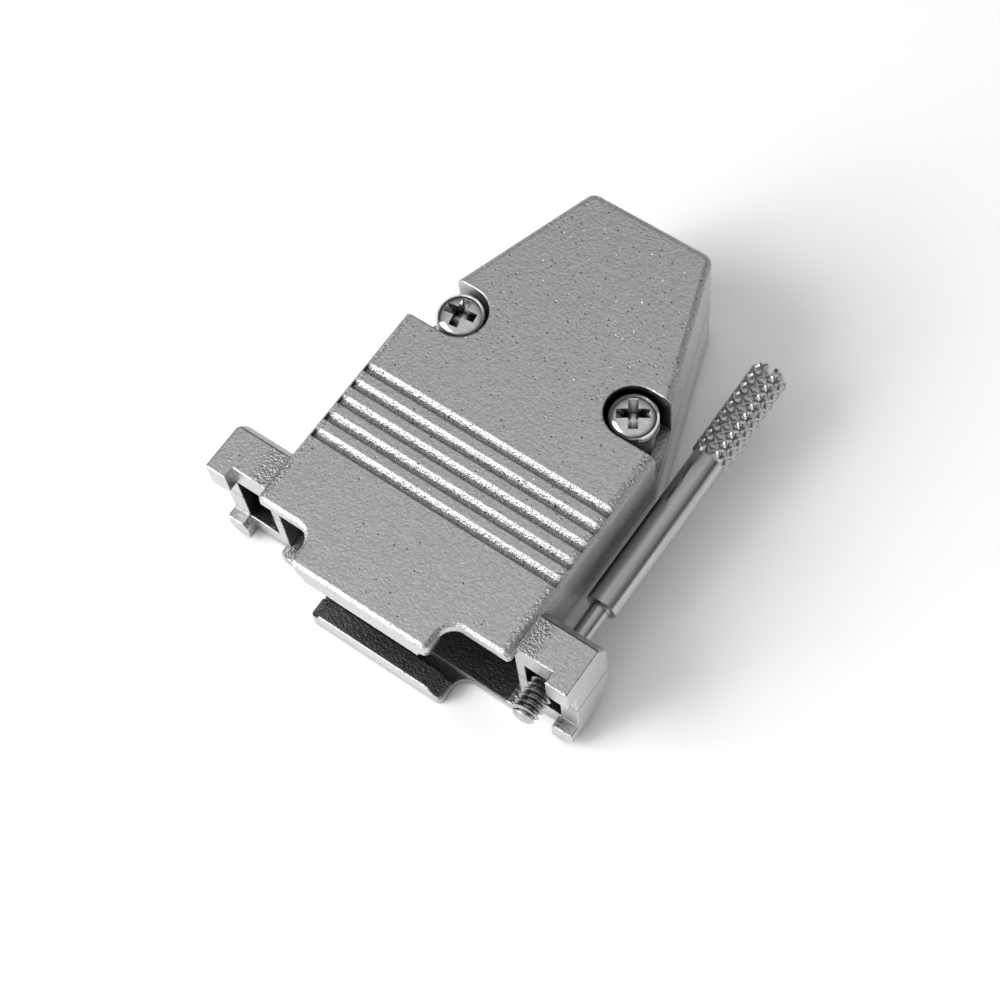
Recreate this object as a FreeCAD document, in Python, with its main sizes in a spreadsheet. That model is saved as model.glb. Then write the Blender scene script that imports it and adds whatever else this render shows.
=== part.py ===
import FreeCAD, Part
import math
import os
import re
import Sketcher

# D-sub connector hood, shell size 15, as a parametric document in millimetres.
# X is the width, Y runs from the connector mouth (-) to the cable outlet (+), Z is up.
# The origin is the middle of the footprint, on the face that the hood rests on.

SIZES = {
    # both shells
    "overall_height": 15.0,
    "parting_drop": 0.1,
    "body_half": 14.4,
    "seat_depth": 3.55,
    "taper_start": 27.1,
    "taper_length": 21.3,
    "rear_half": 7.0,
    "rear_corner": 1.2,
    "wall": 1.4,
    "roof": 1.5,
    "rear_wall": 1.5,
    "long_edge_radius": 0.8,
    "front_edge_bevel": 0.3,
    # tongues that hold the connector flange
    "tongue_half": 7.75,
    "tongue_arc": 1.75,
    "tongue_wall": 1.27,
    "tongue_corner": 0.5,
    "lip_height": 3.15,
    "lip_depth": 2.1,
    "lip_corner": 1.2,
    # jackscrew ears
    "jackscrew_spacing": 33.32,
    "ear_front": 4.8,
    "ear_depth": 5.2,
    "ear_drop": 0.6,
    "ear_web": 0.95,
    "window_reach": 2.04,
    "ear_wall": 1.9,
    "window_margin_top": 4.0,
    "window_margin_bottom": 3.2,
    "ear_back_wall": 1.3,
    "crown_flat": 3.83,
    "crown_fall": 3.8,
    "heel_flat": 1.3,
    "heel_rise": 5.9,
    "ear_edge_radius": 0.3,
    "ear_foot_radius": 1.2,
    "ear_slope": 1.1,
    "ear_slope_radius": 2.6,
    "pad_width": 2.3,
    "pad_corner": 0.7,
    # grip grooves
    "groove_start": 11.97,
    "groove_pitch": 2.06,
    "groove_width": 1.03,
    "groove_count": 5,
    "groove_half": 14.0,
    "groove_depth": 0.45,
    "groove_slope": 0.5,
    # assembly screws and nuts
    "screw_inset": 4.4,
    "screw_behind_taper": 2.9,
    "screw_thread": 1.25,
    "head_radius": 2.5,
    "head_height": 2.1,
    "head_dome": 0.75,
    "head_crown": 1.3,
    "head_sink": 0.2,
    "recess_length": 2.9,
    "recess_width": 0.62,
    "recess_depth": 1.3,
    "notch_radius": 2.85,
    "notch_depth": 5.7,
    "boss_radius": 2.1,
    "column_radius": 4.1,
    "nut_flats": 5.0,
    "nut_height": 2.0,
    "nut_sink": 0.7,
    # cable outlet and clamp
    "cable_radius": 3.8,
    "clamp_width": 3.8,
    "clamp_thickness": 0.9,
    "clamp_drop": 0.4,
    "foot_thickness": 1.4,
    "foot_margin": 1.85,
    "foot_flat": 0.15,
    "clamp_screw_offset": 6.55,
    "clamp_screw_thread": 1.0,
    "clamp_screw_length": 6.0,
    "clamp_head_radius": 1.75,
    "clamp_head_height": 1.5,
    "clamp_head_dome": 0.5,
    "clamp_head_crown": 0.9,
    "clamp_recess_length": 2.1,
    "clamp_recess_depth": 0.9,
    # thumbscrew
    "tip_station": 1.4,
    "thread_radius": 1.42,
    "thread_length": 5.6,
    "thread_chamfer": 0.35,
    "shank_radius": 0.975,
    "shank_length": 7.45,
    "sleeve_radius": 1.7,
    "sleeve_length": 18.15,
    "sleeve_chamfer": 0.25,
    "knurl_radius": 1.975,
    "knurl_depth": 0.23,
    "knurl_length": 11.55,
    "knurl_around": 10,
    "knurl_rows": 9,
    "end_chamfer": 0.3,
    "driver_slot_width": 0.8,
    "driver_slot_depth": 0.9,
    # clearances
    "thread_fit": 0.02,
    "hole_fit": 0.1,
    "shank_fit": 0.175,
    "nut_fit": 0.05,
    "thread_room": 0.29,
    "clamp_gap": 0.3,
    "cut_over": 1.0,
}

# Places along Y and levels along Z that several pieces share.
REAR = "((taper_start + taper_length) / 2)"
FRONT = f"(0 - {REAR})"
SEAT = f"({FRONT} + seat_depth)"
TAPER = f"({FRONT} + taper_start)"
EAR_Y = f"({FRONT} + ear_front)"
EAR_BACK_Y = f"({EAR_Y} + ear_depth - ear_back_wall)"
SCREW_X = "(body_half - screw_inset)"
SCREW_Y = f"({TAPER} + screw_behind_taper)"
CLAMP_Y = f"({SCREW_Y} + column_radius + clamp_gap + clamp_width / 2)"
PARTING = "(overall_height / 2 - parting_drop)"
HEAD_SEAT = "(overall_height - head_sink - head_height)"
CLAMP_SEAT = f"({PARTING} - clamp_drop)"
WINDOW_IN = "(jackscrew_spacing / 2 - thread_radius - thread_room)"
WINDOW_OUT = "(jackscrew_spacing / 2 + window_reach)"
EAR_OUT = "(jackscrew_spacing / 2 + window_reach + ear_wall)"
SLOPE = "((body_half - rear_half) / taper_length)"

doc = FreeCAD.newDocument("dsub_hood")
sheet = doc.addObject("Spreadsheet::Sheet", "sizes")
for row, (alias, value) in enumerate(SIZES.items(), start=1):
    sheet.set(f"A{row}", alias)
    sheet.set(f"B{row}", str(value))
    sheet.setAlias(f"B{row}", alias)
doc.recompute()


def cells(text):
    """Turn the alias words of a formula into references to the sheet."""
    return re.sub(r"[a-z_]+", lambda m: f"sizes.{m[0]}" if m[0] in SIZES else m[0], text)


def value(text):
    """Number that a formula of aliases gives now."""
    return float(sheet.evalExpression(cells(text)))


def bind(item, prop, text):
    """Bind a property of an object to a formula of aliases."""
    item.setExpression(prop, cells(text))


def new_body(label, at_x="0", at_y="0", at_z="0"):
    """PartDesign body with its own label and a bound placement."""
    body = doc.addObject("PartDesign::Body", label)
    for axis, text in zip("xyz", (at_x, at_y, at_z)):
        bind(body, f"Placement.Base.{axis}", text)
    return body


def new_sketch(body, role, name, offset="0"):
    """Empty sketch on an origin plane of the body, moved along the plane's normal."""
    plane = next(item for item in body.Origin.OriginFeatures if item.Role == role)
    sketch = body.newObject("Sketcher::SketchObject", name)
    sketch.AttachmentSupport = [(plane, "")]
    sketch.MapMode = "FlatFace"
    bind(sketch, "AttachmentOffset.Base.z", offset)
    return sketch


def pin_point(sketch, geometry, point, texts):
    """Hold one point of a sketch at two formulas."""
    for kind, axis, text in zip(("DistanceX", "DistanceY"), (-2, -1), texts):
        if text == "0":
            sketch.addConstraint(Sketcher.Constraint("PointOnObject", geometry, point, axis))
        else:
            rule = Sketcher.Constraint(kind, -1, 1, geometry, point, value(text))
            bind(sketch, f"Constraints[{sketch.addConstraint(rule)}]", text)


def arc_between(start, end, radius):
    """Short arc from start to end; a positive radius has its centre on the left."""
    middle = (start + end) * 0.5
    across = FreeCAD.Vector(start.y - end.y, end.x - start.x, 0).normalize()
    half = (end - start).Length / 2
    reach = math.sqrt(max(radius * radius - half * half, 0.0))
    centre = middle + across * math.copysign(reach, radius)
    circle = Part.Circle(centre, FreeCAD.Vector(0, 0, 1), abs(radius))
    first, last = (start, end) if radius > 0 else (end, start)
    return Part.ArcOfCircle(circle, circle.parameter(first), circle.parameter(last))


def add_loop(sketch, corners):
    """Closed outline. A corner (a, b) starts a line, (a, b, radius, side) an arc.

    Side is 1 where the arc's centre lies left of the way along, -1 where right.
    """
    spots = [FreeCAD.Vector(value(c[0]), value(c[1]), 0) for c in corners]
    ends = []
    for index, corner in enumerate(corners):
        here, there = spots[index], spots[(index + 1) % len(spots)]
        if len(corner) == 2:
            edge = sketch.addGeometry(Part.LineSegment(here, there), False)
            ends.append((edge, 1, 2))
        else:
            radius = value(corner[2]) * corner[3]
            edge = sketch.addGeometry(arc_between(here, there, radius), False)
            ends.append((edge, 1, 2) if radius > 0 else (edge, 2, 1))
    for index, (edge, first, last) in enumerate(ends):
        following = ends[(index + 1) % len(ends)]
        rule = Sketcher.Constraint("Coincident", edge, last, following[0], following[1])
        sketch.addConstraint(rule)
        pin_point(sketch, edge, first, corners[index][:2])
        if len(corners[index]) == 4:
            rule = Sketcher.Constraint("Radius", edge, value(corners[index][2]))
            bind(sketch, f"Constraints[{sketch.addConstraint(rule)}]", corners[index][2])


def add_circle(sketch, centre, radius):
    """Circle with a bound centre and radius."""
    middle = FreeCAD.Vector(value(centre[0]), value(centre[1]), 0)
    edge = sketch.addGeometry(Part.Circle(middle, FreeCAD.Vector(0, 0, 1), value(radius)), False)
    pin_point(sketch, edge, 3, centre)
    rule = Sketcher.Constraint("Radius", edge, value(radius))
    bind(sketch, f"Constraints[{sketch.addConstraint(rule)}]", radius)


def box_loop(left, right, low, high):
    """Four corners of an upright rectangle."""
    return [(left, low), (right, low), (right, high), (left, high)]


def mirrored(corners):
    """The same outline on the other side of the second sketch axis."""
    flipped = []
    for index in range(len(corners)):
        corner = corners[-1 - index]
        before = corners[(-2 - index) % len(corners)]
        flipped.append((f"(0 - {corner[0]})", corner[1]) + tuple(before[2:]))
    return flipped


def grow(body, sketch, name, length, reverse=False):
    """Pad a sketch along its plane's normal, or against it."""
    feature = body.newObject("PartDesign::Pad", name)
    feature.Profile = sketch
    feature.Reversed = reverse
    bind(feature, "Length", length)
    sketch.Visibility = False
    doc.recompute()
    return feature


def cut(body, sketch, name, length, reverse=False):
    """Pocket a sketch against its plane's normal, or along it; it must take material away."""
    before = body.Shape.Volume
    feature = body.newObject("PartDesign::Pocket", name)
    feature.Profile = sketch
    feature.Reversed = reverse
    bind(feature, "Length", length)
    sketch.Visibility = False
    doc.recompute()
    if body.Shape.Volume > before - 1e-6:
        raise ValueError(f"{body.Label}: {name} cuts nothing")
    return feature


def turn(body, sketch, name):
    """Revolve a sketch once round its own second axis."""
    feature = body.newObject("PartDesign::Revolution", name)
    feature.Profile = sketch
    feature.ReferenceAxis = (sketch, ["V_Axis"])
    feature.Angle = 360.0
    sketch.Visibility = False
    doc.recompute()
    return feature


def ease_edges(body, name, kind, size, wanted):
    """Fillet or Chamfer the edges of the body's last feature that a test picks by their middle."""
    tip = body.Tip
    names = []
    for number, edge in enumerate(tip.Shape.Edges, start=1):
        middle = edge.valueAt((edge.FirstParameter + edge.LastParameter) / 2)
        if wanted(edge, middle):
            names.append(f"Edge{number}")
    if not names:
        raise ValueError(f"{body.Label}: {name} finds no edge")
    feature = body.newObject(f"PartDesign::{kind}", name)
    feature.Base = (tip, names)
    bind(feature, "Radius" if kind == "Fillet" else "Size", size)
    doc.recompute()
    return feature


def upright(edge):
    """True for an edge that runs straight up."""
    first, last = edge.Vertexes[0].Point, edge.Vertexes[-1].Point
    return near(first.x, last.x) and near(first.y, last.y) and not near(first.z, last.z)


def near(first, second):
    """True where two lengths agree to a hundredth of a millimetre."""
    return abs(first - second) < 0.01


def taper_half(inset, at_y):
    """Formula of the half width of the tapered rear at a place along Y."""
    return f"(body_half - {inset} - ({at_y} - {TAPER}) * {SLOPE})"


def tangent_radius(along, rise):
    """Formula of the arc's radius that climbs by a rise and ends upright."""
    return f"((pow({along}; 2) + pow({rise}; 2)) / (2 * {along}))"


class Shell:
    """One of the two die-cast halves: everything that both have is made here."""

    def __init__(self, label, upper):
        self.upper = upper
        self.body = new_body(label)
        self.label = label

    def level(self, depth):
        """Height of a plane that lies a depth inside the outer face."""
        return f"(overall_height - {depth})" if self.upper else f"({depth})"

    def depth_to_parting(self, inset="0"):
        """Length from the parting plane to a plane an inset inside the outer face."""
        if self.upper:
            return f"(overall_height - {PARTING} - {inset})"
        return f"({PARTING} - {inset})"

    def plan(self, name, offset):
        """Sketch seen from above."""
        return new_sketch(self.body, "XY_Plane", f"{self.label}_{name}", offset)

    def elevation(self, name, station):
        """Sketch seen from the front, at a place along Y."""
        return new_sketch(self.body, "XZ_Plane", f"{self.label}_{name}", f"0 - {station}")

    def block(self):
        """Outer block with the tongue in front of it, still full down to the parting plane."""
        sketch = self.plan("outline", PARTING)
        right = [("tongue_half", FRONT), ("tongue_half", f"({SEAT} - tongue_arc)", "tongue_arc", -1),
                 ("(tongue_half + tongue_arc)", SEAT), ("body_half", SEAT), ("body_half", TAPER),
                 ("rear_half", REAR)]
        add_loop(sketch, right + mirrored(right))
        grow(self.body, sketch, f"{self.label}_block", self.depth_to_parting(), not self.upper)
        sketch = self.plan("under_tongue", PARTING)
        side = "(tongue_half + tongue_arc)"
        add_loop(sketch, box_loop(f"(0 - {side})", side, f"({FRONT} - cut_over)", SEAT))
        cut(self.body, sketch, f"{self.label}_flange_room", self.depth_to_parting("tongue_wall"),
            self.upper)

    def lip(self):
        """Lip at the tongue's front that holds the connector flange."""
        sketch = self.elevation("lip", FRONT)
        side = -1 if self.upper else 1
        root, edge = self.level("tongue_wall"), self.level("lip_height")
        corner = self.level("(lip_height - lip_corner)")
        flat = "(tongue_half - lip_corner)"
        add_loop(sketch, [("(0 - tongue_half)", root),
                          ("(0 - tongue_half)", corner, "lip_corner", side),
                          (f"(0 - {flat})", edge), (flat, edge, "lip_corner", side),
                          ("tongue_half", corner), ("tongue_half", root)])
        grow(self.body, sketch, f"{self.label}_lip", "lip_depth", True)

    def soften(self):
        """Round the outer edges, as the die leaves them."""
        rear, seat, front = value(REAR), value(SEAT), value(FRONT)
        outer = value(self.level("0"))
        ease_edges(self.body, f"{self.label}_rear_corners", "Fillet", "rear_corner",
                   lambda edge, at: near(at.y, rear) and upright(edge))
        ease_edges(self.body, f"{self.label}_long_edges", "Fillet", "long_edge_radius",
                   lambda edge, at: near(at.z, outer) and seat + 0.1 < at.y < rear - 0.5)
        ease_edges(self.body, f"{self.label}_tongue_corners", "Fillet", "tongue_corner",
                   lambda edge, at: near(at.y, front) and upright(edge))
        ease_edges(self.body, f"{self.label}_front_edges", "Chamfer", "front_edge_bevel",
                   lambda edge, at: near(at.z, outer) and at.y < seat + 0.01)

    def ears(self):
        """Both jackscrew ears as one bar through the block, then the slopes and pads on it."""
        sketch = new_sketch(self.body, "YZ_Plane", f"{self.label}_ear_side", f"0 - {EAR_OUT}")
        back = f"({EAR_Y} + ear_depth)"
        outer = self.level("ear_drop")
        if self.upper:
            crown = tangent_radius("(ear_depth - crown_flat)", "crown_fall")
            add_loop(sketch, [(EAR_Y, PARTING), (back, PARTING),
                              (back, self.level("(ear_drop + crown_fall)"), crown, 1),
                              (f"({EAR_Y} + crown_flat)", outer), (EAR_Y, outer)])
        else:
            heel = tangent_radius("(ear_depth - heel_flat)", "heel_rise")
            add_loop(sketch, [(EAR_Y, PARTING), (EAR_Y, outer),
                              (f"({EAR_Y} + heel_flat)", outer, heel, 1),
                              (back, self.level("(ear_drop + heel_rise)")), (back, PARTING)])
        grow(self.body, sketch, f"{self.label}_ear_bar", f"2 * {EAR_OUT}")
        side, behind = value(EAR_OUT), value(f"({EAR_Y} + 0.6 * ear_depth)")
        ease_edges(self.body, f"{self.label}_ear_rounds", "Fillet", "ear_edge_radius",
                   lambda edge, at: near(abs(at.x), side) and at.y > behind)
        if self.upper:
            self.ear_slopes()
        sketch = self.elevation("pads", SEAT)
        margin = "window_margin_top" if self.upper else "window_margin_bottom"
        low, high = self.level("ear_drop"), self.level(margin)
        inner = f"({EAR_OUT} - pad_width)"
        turn_way = -1 if self.upper else 1
        right = [(inner, low), (EAR_OUT, low), (EAR_OUT, high),
                 (f"({inner} + pad_corner)", high, "pad_corner", turn_way),
                 (inner, self.level(f"({margin} - pad_corner)"))]
        add_loop(sketch, right)
        add_loop(sketch, mirrored(right))
        grow(self.body, sketch, f"{self.label}_ear_pads", "(ear_front - seat_depth)", True)
        if not self.upper:
            self.ear_feet()

    def ear_slopes(self):
        """Hollow slopes from the ears up to the top of the block."""
        sketch = self.elevation("slopes", EAR_Y)
        low = self.level("ear_drop")
        root = "(body_half - long_edge_radius)"
        foot = "(body_half + ear_slope)"
        right = [(root, f"({low} - ear_drop)"), (foot, f"({low} - ear_drop)"),
                 (foot, low, "ear_slope_radius", -1), (root, self.level("0"))]
        add_loop(sketch, right)
        add_loop(sketch, mirrored(right))
        grow(self.body, sketch, f"{self.label}_ear_slopes", "crown_flat", True)

    def ear_feet(self):
        """Round the lower outer corners of the ears and their pads."""
        sketch = self.elevation("ear_feet", SEAT)
        start, outside = f"({EAR_OUT} - ear_foot_radius)", f"({EAR_OUT} + cut_over)"
        below, top = "(ear_drop - cut_over)", "(ear_drop + ear_foot_radius)"
        right = [(start, "ear_drop", "ear_foot_radius", 1), (EAR_OUT, top), (outside, top),
                 (outside, below), (start, below)]
        add_loop(sketch, right)
        add_loop(sketch, mirrored(right))
        cut(self.body, sketch, f"{self.label}_ear_feet", "(ear_front - seat_depth + ear_depth)")

    def hollow(self):
        """Room for the connector and the wires, round the two screw columns."""
        sketch = self.plan("cavity", PARTING)
        mouth, strut = "(body_half + ear_slope)", f"({WINDOW_IN} - ear_web)"
        side = "(body_half - wall)"
        first = f"({SCREW_Y} - column_radius)"
        last = f"({SCREW_Y} + column_radius)"
        back = f"({REAR} - rear_wall)"
        bow = ("column_radius", -1)
        right = [(mouth, SEAT), (mouth, EAR_Y), (strut, EAR_Y), (strut, EAR_BACK_Y),
                 (side, EAR_BACK_Y), (side, first), (SCREW_X, first) + bow,
                 (f"({SCREW_X} - column_radius)", SCREW_Y) + bow, (SCREW_X, last),
                 (taper_half("wall", last), last), (taper_half("wall", back), back)]
        add_loop(sketch, right + mirrored(right))
        cut(self.body, sketch, f"{self.label}_cavity", self.depth_to_parting("roof"), self.upper)

    def windows(self):
        """Ear windows open to the front and the hole that carries the jackscrew's shank."""
        sketch = self.elevation("windows", EAR_Y)
        margin = "window_margin_top" if self.upper else "window_margin_bottom"
        beyond = f"({PARTING} - cut_over)" if self.upper else f"({PARTING} + cut_over)"
        right = box_loop(WINDOW_IN, WINDOW_OUT, self.level(margin), beyond)
        add_loop(sketch, right)
        add_loop(sketch, mirrored(right))
        cut(self.body, sketch, f"{self.label}_windows", "(ear_depth - ear_back_wall)")
        sketch = self.elevation("shank_holes", EAR_BACK_Y)
        for at_x in ("(jackscrew_spacing / 2)", "(0 - jackscrew_spacing / 2)"):
            add_circle(sketch, (at_x, PARTING), "(shank_radius + shank_fit)")
        cut(self.body, sketch, f"{self.label}_shank_seats", "(ear_back_wall + cut_over)")

    def grip_grooves(self):
        """Row of shallow grooves with an upright front wall and a sloping rear wall."""
        sketch = new_sketch(self.body, "YZ_Plane", f"{self.label}_groove_side", "0 - groove_half")
        low = f"({FRONT} + groove_start - groove_width / 2)"
        high = f"({low} + groove_width)"
        floor, outer, over = (self.level(f"({text})") for text in
                              ("groove_depth", "0", "0 - cut_over"))
        add_loop(sketch, [(low, floor), (f"({high} - groove_slope)", floor), (high, outer),
                          (high, over), (low, over)])
        groove = cut(self.body, sketch, f"{self.label}_groove", "2 * groove_half", True)
        row = self.body.newObject("PartDesign::LinearPattern", f"{self.label}_grooves")
        row.Originals = [groove]
        row.Direction = (sketch, ["H_Axis"])
        bind(row, "Length", "groove_pitch * (groove_count - 1)")
        bind(row, "Occurrences", "groove_count")
        self.body.Tip = row
        doc.recompute()

    def outlet(self):
        """Half of the round cable outlet, cut through the rear wall and the cradle."""
        start = f"({CLAMP_Y} - clamp_width / 2 - clamp_gap)"
        sketch = self.elevation("outlet", start)
        add_circle(sketch, ("0", PARTING), "cable_radius")
        cut(self.body, sketch, f"{self.label}_outlet", f"({REAR} - {start} + cut_over)")

    def screw_holes(self):
        """Clearance holes for the assembly screws."""
        sketch = self.plan("screw_holes", PARTING)
        for at_x in (SCREW_X, f"(0 - {SCREW_X})"):
            add_circle(sketch, (at_x, SCREW_Y), "(screw_thread + hole_fit)")
        cut(self.body, sketch, f"{self.label}_screw_bores", self.depth_to_parting(), self.upper)

    def notches(self):
        """U-shaped notches round the screw heads, each with a boss that the head sits on."""
        low, high = f"({SCREW_Y} - notch_radius)", f"({SCREW_Y} + notch_radius)"
        outside = "(body_half + cut_over)"
        bow = ("notch_radius", -1)
        right = [(outside, low), (SCREW_X, low) + bow,
                 (f"({SCREW_X} - notch_radius)", SCREW_Y) + bow,
                 (SCREW_X, high), (outside, high)]
        for name, depth, bosses in (("head_room", f"(overall_height - {HEAD_SEAT})", False),
                                    ("notches", "notch_depth", True)):
            sketch = self.plan(f"{name}_plan", self.level("0"))
            add_loop(sketch, right)
            add_loop(sketch, mirrored(right))
            if bosses:
                for at_x in (SCREW_X, f"(0 - {SCREW_X})"):
                    add_circle(sketch, (at_x, SCREW_Y), "boss_radius")
            cut(self.body, sketch, f"{self.label}_{name}", depth)

    def nut_pockets(self):
        """Hexagonal pockets in the underside."""
        sketch = self.plan("nut_pockets_plan", self.level("0"))
        for side in (1, -1):
            add_loop(sketch, hexagon(f"({side} * {SCREW_X})", SCREW_Y, "(nut_flats + 2 * nut_fit)"))
        cut(self.body, sketch, f"{self.label}_nut_pockets", "(nut_height + nut_sink)", True)

    def cradle(self):
        """Cross rib that carries the cable and the clamp."""
        sketch = self.plan("cradle_plan", CLAMP_SEAT)
        low, high = f"({CLAMP_Y} - clamp_width / 2)", f"({CLAMP_Y} + clamp_width / 2)"
        right = [(taper_half("wall / 2", low), low), (taper_half("wall / 2", high), high)]
        add_loop(sketch, right + mirrored(right))
        grow(self.body, sketch, f"{self.label}_cradle", f"({CLAMP_SEAT} - roof)", True)
        sketch = self.plan("clamp_holes_plan", CLAMP_SEAT)
        for at_x in ("clamp_screw_offset", "(0 - clamp_screw_offset)"):
            add_circle(sketch, (at_x, CLAMP_Y), "(clamp_screw_thread + thread_fit)")
        cut(self.body, sketch, f"{self.label}_clamp_holes",
            "(clamp_screw_length - foot_thickness + hole_fit)")


def hexagon(at_x, at_y, flats):
    """Corners of a hexagon with two flats along Y."""
    reach = f"({flats} / sqrt(3))"
    side = f"({flats} / 2)"
    short = f"({flats} / sqrt(12))"
    spots = [(side, f"0 - {short}"), (side, short), ("0", reach),
             (f"0 - {side}", short), (f"0 - {side}", f"0 - {short}"), ("0", f"0 - {reach}")]
    return [(f"({at_x} + ({a}))", f"({at_y} + ({b}))") for a, b in spots]


def make_upper_shell():
    """Upper half, notched for the screw heads."""
    shell = Shell("upper_shell", True)
    shell.block()
    shell.lip()
    shell.soften()
    shell.ears()
    shell.hollow()
    shell.windows()
    shell.screw_holes()
    shell.notches()
    shell.outlet()
    shell.grip_grooves()
    return shell.body


def make_lower_shell():
    """Lower half, with the cradle, the screw columns and the nut pockets."""
    shell = Shell("lower_shell", False)
    shell.block()
    shell.lip()
    shell.soften()
    shell.ears()
    shell.hollow()
    shell.windows()
    shell.screw_holes()
    shell.nut_pockets()
    shell.cradle()
    shell.outlet()
    shell.grip_grooves()
    return shell.body


def make_screw(label, at, thread, length, head, recess):
    """Screw with a cross recess, its seat at the local origin.

    The head is its radius, height, the height of its cone and the radius of its flat top,
    and the recess is its length and depth.
    """
    head_radius, head_height, dome, crown = head
    body = new_body(label, *at)
    sketch = new_sketch(body, "XZ_Plane", f"{label}_profile")
    add_loop(sketch, [("0", f"(0 - {length})"), (thread, f"(0 - {length})"), (thread, "0"),
                      (head_radius, "0"), (head_radius, f"({head_height} - {dome})"),
                      (crown, head_height), ("0", head_height)])
    turn(body, sketch, f"{label}_turned")
    sketch = new_sketch(body, "XY_Plane", f"{label}_recess", head_height)
    arm, half = f"({recess[0]} / 2)", "(recess_width / 2)"
    add_loop(sketch, [(arm, f"(0 - {half})"), (arm, half), (half, half), (half, arm),
                      (f"(0 - {half})", arm), (f"(0 - {half})", half), (f"(0 - {arm})", half),
                      (f"(0 - {arm})", f"(0 - {half})"), (f"(0 - {half})", f"(0 - {half})"),
                      (f"(0 - {half})", f"(0 - {arm})"), (half, f"(0 - {arm})"),
                      (half, f"(0 - {half})")])
    cut(body, sketch, f"{label}_cross", recess[1])
    return body


def make_nut(label, side):
    """Hexagonal nut, seated against the top of its pocket."""
    body = new_body(label, f"{side} * {SCREW_X}", SCREW_Y, "nut_sink")
    sketch = new_sketch(body, "XY_Plane", f"{label}_plan")
    add_loop(sketch, hexagon("0", "0", "nut_flats"))
    add_circle(sketch, ("0", "0"), "(screw_thread + thread_fit)")
    grow(body, sketch, f"{label}_blank", "nut_height")
    return body


def make_clamp():
    """Saddle that presses the cable into the cradle, with a foot on each side."""
    body = new_body("cable_clamp", "0", f"{CLAMP_Y} + clamp_width / 2", PARTING)
    sketch = new_sketch(body, "XZ_Plane", "clamp_profile")
    low = "(0 - clamp_drop)"
    top = "(foot_thickness - clamp_drop)"
    end = "(clamp_screw_offset + foot_margin)"
    outer = "(cable_radius + clamp_thickness)"
    shoulder = f"sqrt(pow({outer}; 2) - pow({top}; 2))"
    mouth = f"sqrt(pow(cable_radius; 2) - pow({low}; 2))"
    add_loop(sketch, [(end, low), (end, top), (shoulder, top, outer, 1), ("0", outer, outer, 1),
                      (f"(0 - {shoulder})", top), (f"(0 - {end})", top), (f"(0 - {end})", low),
                      (f"(0 - {mouth})", low, "cable_radius", -1),
                      ("0", "cable_radius", "cable_radius", -1), (mouth, low)])
    grow(body, sketch, "clamp_strap", "clamp_width")
    far = value(end)
    ease_edges(body, "clamp_foot_corners", "Fillet", "(clamp_width / 2 - foot_flat)",
               lambda edge, at: near(abs(at.x), far) and near(at.z, value(top) / 2 + value(low) / 2))
    sketch = new_sketch(body, "XY_Plane", "clamp_hole_plan", top)
    for at_x in ("clamp_screw_offset", "(0 - clamp_screw_offset)"):
        add_circle(sketch, (at_x, "(0 - clamp_width / 2)"), "(clamp_screw_thread + hole_fit)")
    cut(body, sketch, "clamp_holes", "foot_thickness")
    return body


def make_thumbscrew():
    """Turned thumbscrew: thread, shank, sleeve and knurled grip in one piece."""
    core = new_body("thumbscrew_core", "jackscrew_spacing / 2", f"{FRONT} + tip_station",
                    PARTING)
    sketch = new_sketch(core, "XY_Plane", "thumbscrew_profile")
    shank = "(thread_length + shank_length)"
    knurl = f"({shank} + sleeve_length)"
    end = f"({knurl} + knurl_length)"
    add_loop(sketch, [("0", "0"), ("(thread_radius - thread_chamfer)", "0"),
                      ("thread_radius", "thread_chamfer"),
                      ("thread_radius", "(thread_length - thread_chamfer)"),
                      ("shank_radius", "thread_length"), ("shank_radius", shank),
                      ("(sleeve_radius - sleeve_chamfer)", shank),
                      ("sleeve_radius", f"({shank} + sleeve_chamfer)"), ("sleeve_radius", end),
                      ("0", end)])
    turn(core, sketch, "thumbscrew_turned")
    grip_part = doc.addObject("Part::Feature", "thumbscrew_knurl")
    grip_part.Shape = knurl_solid()
    for axis, text in zip("xyz", ("jackscrew_spacing / 2", f"{FRONT} + tip_station + {knurl}",
                                  PARTING)):
        bind(grip_part, f"Placement.Base.{axis}", text)
    blank = doc.addObject("Part::MultiFuse", "thumbscrew_blank")
    blank.Shapes = [core, grip_part]
    slot = doc.addObject("Part::Box", "driver_slot")
    bind(slot, "Length", "driver_slot_width")
    bind(slot, "Width", "driver_slot_depth + cut_over")
    bind(slot, "Height", "2 * (knurl_radius + cut_over)")
    bind(slot, "Placement.Base.x", "jackscrew_spacing / 2 - driver_slot_width / 2")
    bind(slot, "Placement.Base.y", f"{FRONT} + tip_station + {end} - driver_slot_depth")
    bind(slot, "Placement.Base.z", f"{PARTING} - knurl_radius - cut_over")
    screw = doc.addObject("Part::Cut", "thumbscrew")
    screw.Base = blank
    screw.Tool = slot
    return screw


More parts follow.
